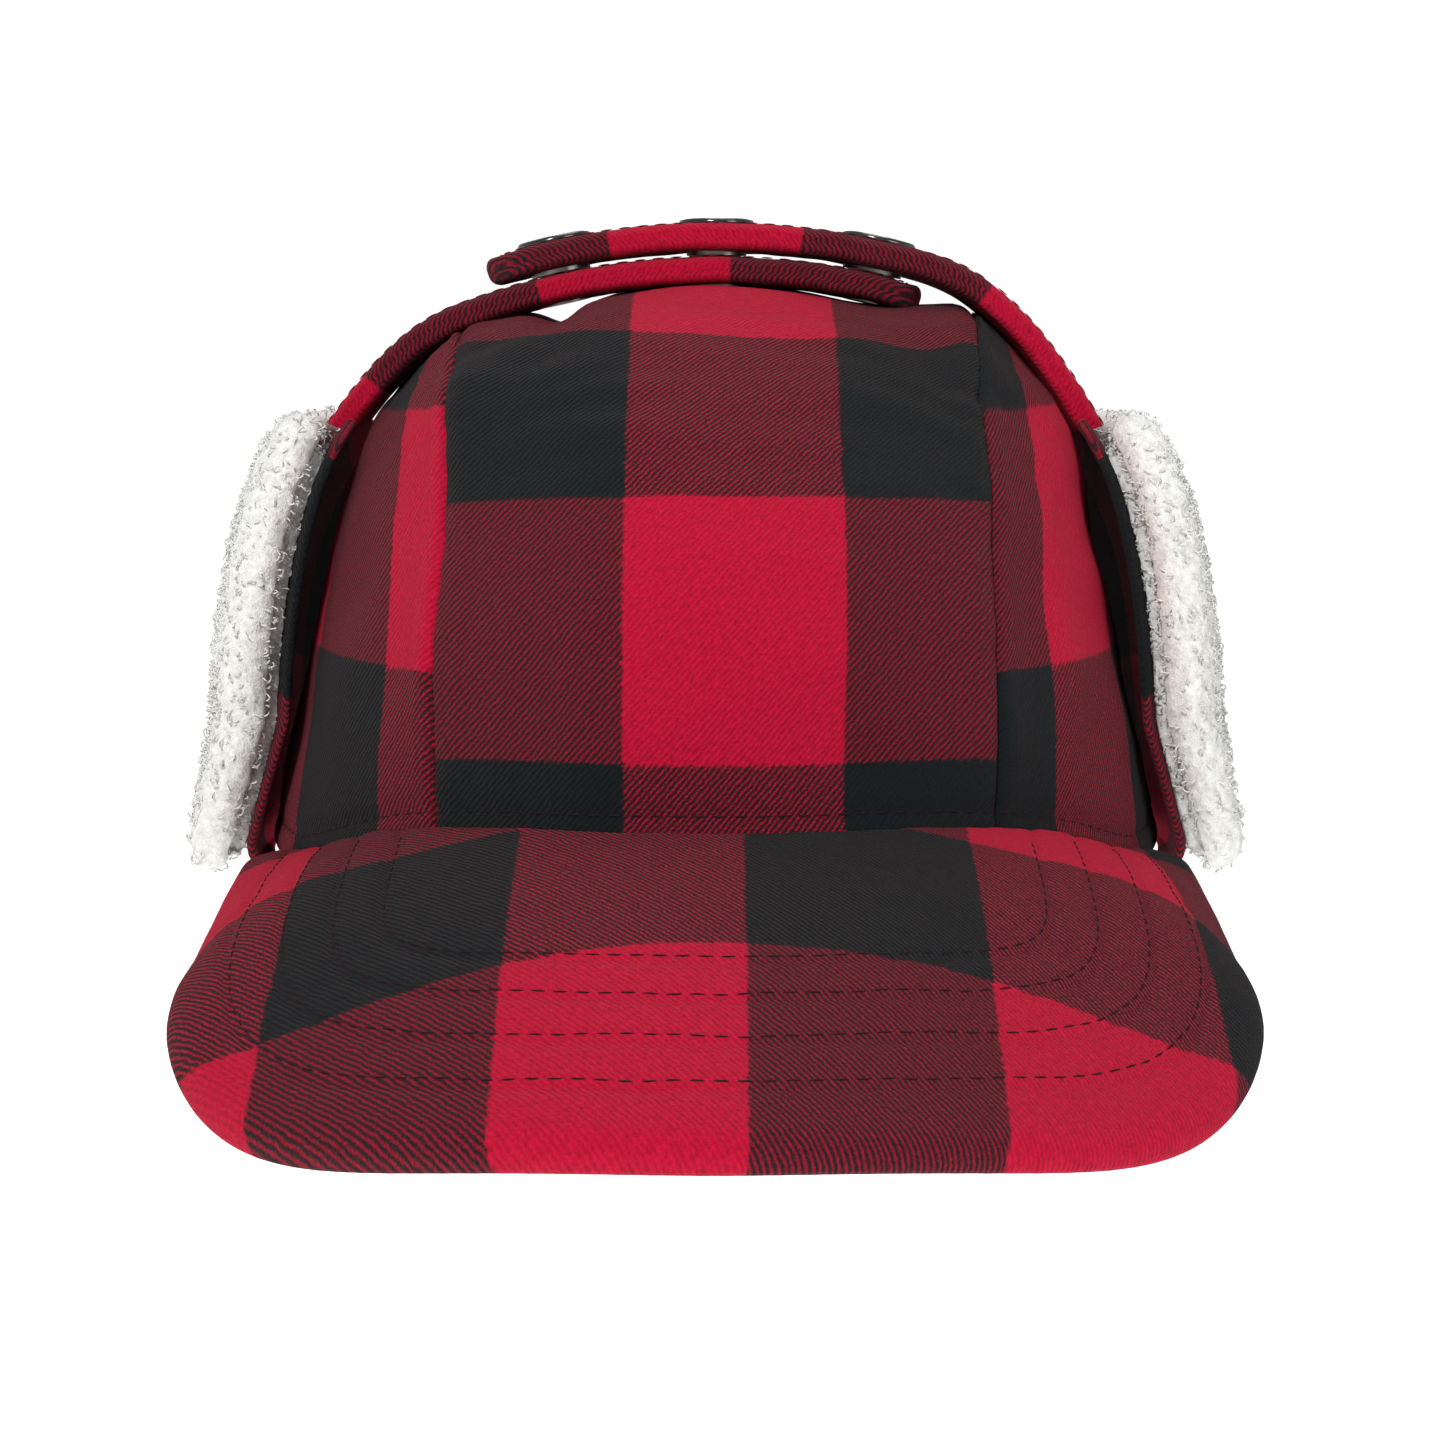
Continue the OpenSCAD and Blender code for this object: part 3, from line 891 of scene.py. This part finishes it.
def inset_line(inset):
    """The visor's edge, moved in by a distance in plan."""
    edge = edge_line(np.linspace(-0.985, 0.985, 900))
    d = np.gradient(edge[:, :2], axis=0)
    d /= np.linalg.norm(d, axis=1, keepdims=True)
    inward = np.stack([-d[:, 1], d[:, 0]], -1)
    if inward[len(edge) // 2][1] < 0:
        inward = -inward
    line = np.concatenate([edge[:, :2] + inset * inward, edge[:, 2:]], 1)
    from_edge = np.array([np.min(np.linalg.norm(edge[:, :2] - p[:2], axis=1)) for p in line])
    outside_crown = (line[:, 0] / (HALF_W + 2)) ** 2 + (line[:, 1] / (HALF_L + 2)) ** 2 > 1
    return line[(from_edge > inset - 0.6) & outside_crown]


def make_visor():
    top = visor_cover("visor_top", "visor_top_cover", 1)
    under = visor_cover("visor_under", "visor_under_cover", -1)
    for obj, way, label in ((top, (0, 0, -1), "top"), (under, (0, 0, 1), "under")):
        tree = surface_of(obj)
        lines = [laid_on(tree, inset_line(r), way, 0.1, 60) for r in ROW_INSETS]
        stitches(f"visor_{label}_stitches", lines, DARK_THREAD, "crown")


# ---- ear flaps ----

PILE_END = 0.925
PILE_EDGE = 5.0  # the strip along a pile's edges where its points are closer together
FLAP_RUN = 90  # length of a flap along the rim, and its depth from fold to tip
FOLD_R = 1.7
CURL_SIZE = 2.7
CURL_R = 0.2  # radius of a loose curl of the pile


def across_flap(count, edge):
    """Places from -1 to 1 across a flap, closer together towards its sides."""
    return np.sin(math.pi / 2 * np.clip(bunched(count, FLAP_RUN, edge) * 2 - 1, -1, 1))


def flap_half(s):
    return FLAP_TIP_HALF + (FLAP_HALF_L - FLAP_TIP_HALF) * np.maximum(0, 1 - s**2.2) ** 0.6


def flap_point(s, u, off, inset=0.0):
    """Left flap: s runs from fold to tip, u from the front edge to the back edge."""
    from_mid = np.maximum(flap_half(s) - inset, 2) * u
    bow = FLAP_BOW + FLAP_WRAP * np.minimum(1, s / WRAP_RISE) / FLAP_HALF_L**2
    p = outline(FLAP_BOTTOM + (FLAP_TOP - FLAP_BOTTOM) * s, off + 0 * s)
    return np.stack([p[..., 0] - bow * from_mid**2, FLAP_MID_Y - FLAP_LEAN_Y * s + from_mid, p[..., 1]], -1)


def rim_x(y):
    return HALF_W * np.sqrt(np.maximum(0, 1 - (y / HALF_L) ** 2))


def flap_shell(side, sign):
    """The wool side of a flap, with the strip that folds under from the crown's rim."""
    us = across_flap(64, 2.0)
    off = FLAP_GAP + WOOL / 2
    ss = np.concatenate([[0.055, 0.075], np.linspace(0.1, 0.97, 60), [0.98, 0.989, 0.995, 0.999]])
    u, s = np.meshgrid(us, ss)
    flap = flap_point(s, u, off)
    y0 = flap[0, :, 1]
    strip = []
    under_rim = -WOOL / 2 - 0.35
    for share in (0.0, 0.03, 0.1, 0.3, 0.55, 0.8, 1.0):
        x = (rim_x(y0) - 1.0) * (1 - share) + (flap[0, :, 0] - FOLD_R) * share
        strip.append(np.stack([x, y0, np.full_like(y0, under_rim)], -1))
    for turn in (0.3, 0.6, 0.85):
        w = turn * math.pi / 2
        x = flap[0, :, 0] - FOLD_R + FOLD_R * math.sin(w)
        z = under_rim + (flap[0, :, 2] - under_rim) * (1 - math.cos(w))
        strip.append(np.stack([x, y0, z], -1))
    grid = np.concatenate([np.array(strip), flap])
    left, right, low, high = border_distance(grid)
    edge = np.minimum.reduce((left, right, low, high))
    half = WOOL / 2 * rounded(edge, 2.0)
    n = grid_normals(grid)
    hold = np.clip(low / 30, 0, 1) * np.clip(high / 25, 0, 1)
    grid = grid + n * (0.5 * each_noise(grid, 22, 7.1) * hold)[..., None]
    cloth = np.stack([grid[..., 1] + 21, low + 9], -1)
    if sign < 0:
        grid = mirrored(grid)
    verts, faces = pillow(grid, half, sign > 0)
    obj = make_piece(f"{side}_flap_wool", verts, faces, WOOL_CLOTH, both_sides(cloth))
    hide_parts(f"{side}_flap_shell")
    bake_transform(obj)


def curl_height(points):
    """Clumps of the fleece pile: rounded curls packed side by side."""
    flat = points.reshape(-1, 3)
    out = np.empty(len(flat))
    for i, p in enumerate(flat):
        near, _ = noise.voronoi(Vector(p / CURL_SIZE))
        fine, _ = noise.voronoi(Vector(p / (CURL_SIZE / 2) + 7.7))
        out[i] = 0.95 * (0.55 - near[0]) + 0.4 * (0.5 - fine[0])
    return out.reshape(points.shape[:-1])


def fleece_pad(side, sign):
    """The deep pile on the outer face of a turned-up flap."""
    count = 100 // COARSE
    ss = 0.012 + (PILE_END - 0.012) * bunched(count, FLAP_RUN, PILE_EDGE)
    u, s = np.meshgrid(across_flap(count, PILE_EDGE), ss)
    full = (FLEECE - 0.1) / 2
    grid = flap_point(s, u, FLAP_GAP + WOOL + 0.1 + full, -0.6)
    left, right, low, high = border_distance(grid)
    edge = np.minimum.reduce((left, right, low, high))
    half = full * rounded(edge, 4.2) ** 0.8
    drape = 0.7 * each_noise(grid, 26, 2.7) + 0.5 * each_noise(grid, 9, 4.9)
    half = half * (1 + 0.06 * drape)
    n = grid_normals(grid)
    if n[count // 2, count // 2, 0] < 0:
        n = -n
    # The pile lies flat against the wool and stands up on the other side
    grid = grid + n * (half - full)[..., None] * 0.5
    if sign < 0:
        grid = mirrored(grid)
    verts, faces = pillow(grid, half, sign > 0)
    mesh_normals = vertex_normals(verts, faces)
    outward = np.clip((mesh_normals[:, 0] * sign + 1.1) * 4, 0.15, 1)
    verts = verts + mesh_normals * (curl_height(verts) * outward)[:, None]
    obj = make_piece(f"{side}_flap_pile", verts, faces, PILE)
    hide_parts(f"{side}_flap_fleece")
    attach(obj, f"{side}_flap")
    return verts, mesh_normals, outward


def vertex_normals(verts, faces):
    f = np.array(faces)
    v = np.asarray(verts)
    n = np.cross(v[f[:, 2]] - v[f[:, 0]], v[f[:, 3]] - v[f[:, 1]])
    total = np.zeros_like(v)
    for k in range(4):
        np.add.at(total, f[:, k], n)
    return total / np.maximum(np.linalg.norm(total, axis=1, keepdims=True), 1e-9)


def fleece_curls(side, verts, normals, outward):
    """Loose curls that break up the surface and the edge of the pile."""
    pick = random.Random(11 if side == "left" else 12)
    ids = [i for i in range(len(verts)) if outward[i] > 0.35]
    parts = []
    for i in pick.sample(ids, min(len(ids), 3600 // COARSE**2)):
        n = Vector(normals[i])
        a = n.orthogonal().normalized()
        a.rotate(Quaternion(n, pick.uniform(0, 2 * math.pi)))
        size = pick.uniform(0.7, 1.35)
        base = Vector(verts[i]) - n * 0.3
        lean = pick.uniform(-0.5, 0.5)
        line = []
        for k in range(5):
            w = k / 4
            up = size * math.sin(math.pi * w * 0.8) * 1.05
            over = size * (w * 1.5 + lean * w * w)
            line.append(base + n * up + a * over)
        parts.append(tube([list(p) for p in line], CURL_R, 4))
    v, f = join_parts(parts)
    obj = make_piece(f"{side}_flap_curls", v, f, PILE)
    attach(obj, f"{side}_flap")


def make_flaps():
    for side, sign in (("left", 1), ("right", -1)):
        flap_shell(side, sign)
        fleece_curls(side, *fleece_pad(side, sign))


# ---- straps ----

SECTION_POINTS = 44
STRAP_STEP = 0.9
STRAP_INSET = 3.2  # a strap's row of topstitching, in from its edge
TIP_BEND = (2, 7)  # where the bend at a flap's tip starts before the hinge and ends past it
SHOULDER_BEND = 12  # length of the upper strap that bends when its end is peeled back


def arc_mid(x, base, r):
    m = r + STRAP_T / 2
    return np.stack([x, base - r + np.sqrt(m * m - x * x)], -1)


def strap_line(base, r, x_joint, elbow, x_end):
    """Middle line of a left-hand strap, from its flap's tip to its free end, as (x, z) pairs."""
    a = arc_mid(np.array(float(x_joint)), base, r)
    c = outline(np.array(FLAP_TOP + 1.2), FLAP_GAP + STRAP_T / 2)
    s = np.linspace(1, 0, 30)[:, None]
    root = (1 - s) ** 2 * a + 2 * s * (1 - s) * np.array(elbow) + s * s * c
    hidden = c + (c - root[1]) / np.linalg.norm(c - root[1]) * np.array([[5.0], [2.5]])
    over = arc_mid(np.linspace(x_joint, x_end, 90)[1:], base, r)
    return np.concatenate([hidden, root, over])


def strap_section(half_w, half_t):
    """Outline of a strap's cut end: two layers of wool, pinched together along their edges."""
    out = []
    for k in range(SECTION_POINTS):
        w = 2 * math.pi * k / SECTION_POINTS
        c, s = math.cos(w), math.sin(w)
        y = half_w * math.copysign(abs(c) ** 0.24, c)
        z = half_t * math.copysign(abs(s) ** 0.62, s)
        from_edge = half_w - abs(y)
        z *= 1 - 0.1 * math.exp(-(((from_edge - STRAP_INSET) / 0.9) ** 2))
        pinch = 0.5 * math.exp(-((z / 0.45) ** 2))
        out.append((y - math.copysign(min(pinch, abs(y)), y), z))
    return np.array(out)


def strap_mesh(name, line, sign, round_end, cloth_start, cuts=(0.0, 1.0)):
    """A wool strap lofted along a line in x and z, with a rounded free end where round_end is true."""
    s = lengths_along(line)
    total = s[-1]
    first, last = cuts[0] * total, cuts[1] * total
    at = np.arange(first, last - 0.4, STRAP_STEP)
    if round_end:
        tail = last - np.array([2.6, 1.7, 1.0, 0.5, 0.2, 0.06, 0.0])
        at = np.concatenate([at[at < tail[0] - 0.3], tail])
    else:
        at = np.append(at, last)
    px, pz = np.interp(at, s, line[:, 0]), np.interp(at, s, line[:, 1])
    clear = np.interp(np.clip(at, 0.5, total), s, line[:, 0])
    t = np.stack([np.gradient(clear, at), np.gradient(pz, at)], -1)
    t /= np.linalg.norm(t, axis=1, keepdims=True)
    out = np.stack([-t[:, 1], t[:, 0]], -1)
    out[out[:, 1] < 0] *= -1
    verts, cloth = [], []
    half_w = STRAP_W / 2
    for i, a in enumerate(at):
        w, h = half_w, STRAP_T / 2 + STRAP_PUFF
        if round_end and a > last - half_w:
            w = math.sqrt(max(half_w**2 - (a - last + half_w) ** 2, 0.15))
            h *= rounded(np.array(last - a), 2.0) * 0.96 + 0.04
        if not round_end and a < first + 0.01:
            h *= 0.985
        wave = 0.22 * noise.noise(Vector((a / 9.0, sign * 3.0, cloth_start)))
        for y, z in strap_section(w, h):
            ripple = 0.12 * noise.noise(Vector((a / 4.0, y / 5.0, 3.3 * sign)))
            q = z + wave + ripple
            verts.append((px[i] + out[i][0] * q, STRAP_Y + y, pz[i] + out[i][1] * q))
            cloth.append((a + cloth_start, y + 19 + z * 0.8))
    faces = [f[::-1] for f in loft_faces(len(at), SECTION_POINTS)]
    faces.append(list(range(SECTION_POINTS)))
    faces.append([(len(at) - 1) * SECTION_POINTS + k for k in range(SECTION_POINTS)][::-1])
    verts = np.array(verts)
    if sign < 0:
        verts = verts * [-1, 1, 1]
        faces = [f[::-1] for f in faces]
    obj = make_piece(name, verts, faces, WOOL_CLOTH, np.array(cloth), 2)
    mark_sharp_ends(obj)
    return obj, strap_stitch_lines(px, pz, out, at, last, round_end, sign)


def mark_sharp_ends(obj):
    """Keeps the shading of a strap's length clear of its flat ends."""
    start, end = SECTION_POINTS, len(obj.data.vertices) - SECTION_POINTS
    for e in obj.data.edges:
        a, b = e.vertices
        if max(a, b) < start or min(a, b) >= end:
            e.use_edge_sharp = True


def strap_stitch_lines(px, pz, out, at, last, round_end, sign):
    """The row of topstitching that runs round a strap, on its outer face."""
    half_w = STRAP_W / 2
    lift = STRAP_T / 2 + STRAP_PUFF * 0.9
    lines = []
    for edge in (-1, 1):
        line = []
        for i, a in enumerate(at):
            w = half_w - STRAP_INSET
            if round_end and a > last - half_w:
                w = math.sqrt(max((half_w - STRAP_INSET) ** 2 - (a - last + half_w) ** 2, 0))
                if a > last - STRAP_INSET:
                    continue
            line.append((sign * (px[i] + out[i][0] * lift), STRAP_Y + edge * w, pz[i] + out[i][1] * lift))
        lines.append(line)
    if round_end:
        lines = [lines[0] + lines[1][::-1]]
    return lines


def to_world(p, sign):
    return Vector((sign * p[0], STRAP_Y, p[1])) * MM


def tip_bend(line, sign):
    """Start and end of the bend at a flap's tip, on the strap that hangs from it."""
    tip = outline(np.array(FLAP_TOP + 0.6), FLAP_GAP + STRAP_T / 2)
    i = int(np.argmin(np.linalg.norm(line - tip, axis=1)))
    way = line[i + 2] - line[i]
    way = way / np.linalg.norm(way)
    return to_world(tip - way * TIP_BEND[0], sign), to_world(tip + way * TIP_BEND[1], sign)


def shoulder_bend(line):
    """Start and end of the bend over the crown's shoulder, on the upper strap."""
    i = int(np.argmin(np.abs(line[:, 0] - UPPER_BEND_X)))
    t = line[i + 3] - line[i - 3]
    t = t / np.linalg.norm(t)
    return to_world(line[i] - t * SHOULDER_BEND / 2, 1), to_world(line[i] + t * SHOULDER_BEND / 2, 1)


def make_straps():
    upper = strap_line(UPPER_BASE, UPPER_R, UPPER_BEND_X, UPPER_ELBOW, UPPER_END_X)
    lower = strap_line(LOWER_BASE, LOWER_R, LOWER_BEND_X, LOWER_ELBOW, -LOWER_END_X)
    walked = lengths_along(upper)
    split = walked[int(np.argmin(np.abs(upper[:, 0] - (UPPER_BEND_X + 8))))] / walked[-1]
    root, root_lines = strap_mesh("left_strap_near", upper, 1, False, 4.0, (0.0, split))
    end, end_lines = strap_mesh("left_strap_over", upper, 1, True, 4.0, (split, 1.0))
    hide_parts("left_strap_root")
    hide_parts("left_strap_tip")
    at_tip, at_shoulder = tip_bend(upper, 1), shoulder_bend(upper)
    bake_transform(root)
    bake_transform(end)
    seams = stitches("left_strap_near_stitches", root_lines, RED_THREAD, None)
    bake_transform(seams)
    seams = stitches("left_strap_over_stitches", end_lines, RED_THREAD, None)
    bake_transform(seams)
    strap, lines = strap_mesh("right_strap_whole", lower, -1, True, 27.0)
    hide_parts("right_strap_root", "right_strap_tip")
    at_tip = tip_bend(lower, -1)
    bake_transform(strap)
    seams = stitches("right_strap_stitches", lines, RED_THREAD, None)
    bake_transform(seams)


# ---- snaps ----

DOME_IN, DOME_UP, DOME_H = 2.1, 1.08, 0.5  # a cap's dome: in from the rim, its foot's height and its own


def snap_cap_profile():
    """Radius and height of a cap: a rolled rim, a shallow dished ring and a low dome."""
    rim = ((0.5, -0.1), (0.12, 0.05), (0, 0.4), (0.1, 0.8), (0.45, 1.12), (0.95, 1.2))
    ring = ((1.35, 1.08), (1.7, 1.0), (DOME_IN, DOME_UP))
    points = [(CAP_R - inset, height) for inset, height in rim + ring]
    dome = [(CAP_R - DOME_IN) * (1 - k / 8) for k in range(1, 8)]
    return points + [(r, DOME_UP + DOME_H * (1 - (r / (CAP_R - DOME_IN)) ** 2)) for r in dome]


def make_snaps():
    sides = 64
    for i, x in enumerate((-CAP_PITCH, 0, CAP_PITCH)):
        tilt = math.asin(x / UPPER_R)
        centre = np.array([0, STRAP_Y, UPPER_BASE - UPPER_R])
        up = np.array([math.sin(tilt), 0, math.cos(tilt)])
        side = np.array([math.cos(tilt), 0, -math.sin(tilt)])
        seat = centre + up * (UPPER_R + STRAP_T + STRAP_PUFF * 0.6)
        profile = snap_cap_profile()
        verts = []
        for r, h in profile:
            for k in range(sides):
                w = 2 * math.pi * k / sides
                verts.append(seat + up * h + side * r * math.cos(w) + np.array([0, r * math.sin(w), 0]))
        top = len(verts)
        verts.append(seat + up * (DOME_UP + DOME_H))
        faces = loft_faces(len(profile), sides)
        last = (len(profile) - 1) * sides
        faces += [[last + k, last + (k + 1) % sides, top] for k in range(sides)]
        faces.append(list(range(sides))[::-1])
        cap = make_piece(f"snap_cap_{i + 1}_enamel", verts, faces, ENAMEL, None, 1)
        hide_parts(f"snap_cap_{i + 1}")
        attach(cap, "left_strap_end")


def dress_cad_nodes():
    """The metal parts of the snaps and the visor's board keep their CAD shape."""
    for name, obj in frame["nodes"].items():
        if name.startswith(("snap_socket", "snap_stud", "snap_post", "visor_board")):
            obj.data.materials.clear()
            obj.data.materials.append(PLASTIC if name == "visor_board" else NICKEL)


# ---- floor, light and camera ----

FLOOR_Z, FLOOR_REACH = -0.32, 6


def make_stage():
    mesh = bpy.data.meshes.new("floor")
    square = ((-1, -1), (1, -1), (1, 1), (-1, 1))
    mesh.from_pydata([(x * FLOOR_REACH, y * FLOOR_REACH, FLOOR_Z) for x, y in square], [], [(0, 1, 2, 3)])
    floor = bpy.data.objects.new("floor", mesh)
    bpy.context.scene.collection.objects.link(floor)
    m = Shader("pale_floor")
    place = m.object_place()
    tone = m.mix(m.noise(place, 3.0), (0.88, 0.88, 0.88, 1), (0.9, 0.9, 0.9, 1))
    m.surface.inputs["Emission Color"].default_value = WHITE
    m.surface.inputs["Emission Strength"].default_value = 0.8
    floor.data.materials.append(m.finish(tone, None, 0.9))
    world = bpy.data.worlds.new("studio")
    world.use_nodes = True
    tree = world.node_tree
    soft = tree.nodes["Background"]
    soft.inputs[0].default_value = WHITE
    soft.inputs[1].default_value = 0.30
    seen = tree.nodes.new("ShaderNodeBackground")
    seen.inputs[0].default_value = WHITE
    seen.inputs[1].default_value = 1.0
    which = tree.nodes.new("ShaderNodeMixShader")
    ray = tree.nodes.new("ShaderNodeLightPath")
    tree.links.new(ray.outputs["Is Camera Ray"], which.inputs[0])
    tree.links.new(soft.outputs[0], which.inputs[1])
    tree.links.new(seen.outputs[0], which.inputs[2])
    tree.links.new(which.outputs[0], tree.nodes["World Output"].inputs[0])
    bpy.context.scene.world = world
    bpy.context.scene.view_settings.view_transform = "Standard"


def area_light(name, place, aim, size, power):
    data = bpy.data.lights.new(name, "AREA")
    data.shape = "DISK"
    data.size = size
    data.energy = power
    obj = bpy.data.objects.new(name, data)
    obj.location = place
    obj.rotation_euler = (Vector(aim) - Vector(place)).to_track_quat("-Z", "Y").to_euler()
    bpy.context.scene.collection.objects.link(obj)


def make_lights():
    aim = (0, -0.03, 0.04)
    area_light("key", (-0.35, -0.95, 0.75), aim, 0.3, 11.5)
    area_light("fill", (0.8, -0.7, 0.35), aim, 0.6, 3.2)
    area_light("top", (0.1, 0.2, 1.1), aim, 0.7, 3.6)
    area_light("back", (0.0, 1.1, 0.6), aim, 0.7, 3)


CAMERA_TILT = math.radians(6.9)
CAMERA_AWAY = 0.583
CAMERA_AIM = Vector((0.0012, -0.034, 0.0256))
CAMERA_LENS = 74.5


def make_camera():
    data = bpy.data.cameras.new("camera")
    data.lens = CAMERA_LENS
    data.sensor_width = 36
    obj = bpy.data.objects.new("camera", data)
    ahead = Vector((0, math.cos(CAMERA_TILT), -math.sin(CAMERA_TILT)))
    obj.location = CAMERA_AIM - ahead * CAMERA_AWAY
    obj.rotation_euler = ahead.to_track_quat("-Z", "Y").to_euler()
    bpy.context.scene.collection.objects.link(obj)
    bpy.context.scene.camera = obj


make_camera()
make_stage()
make_lights()
make_crown()
make_lining()
make_sweatband()
make_rim_stitches()
make_visor()
make_flaps()
make_straps()
make_snaps()
dress_cad_nodes()
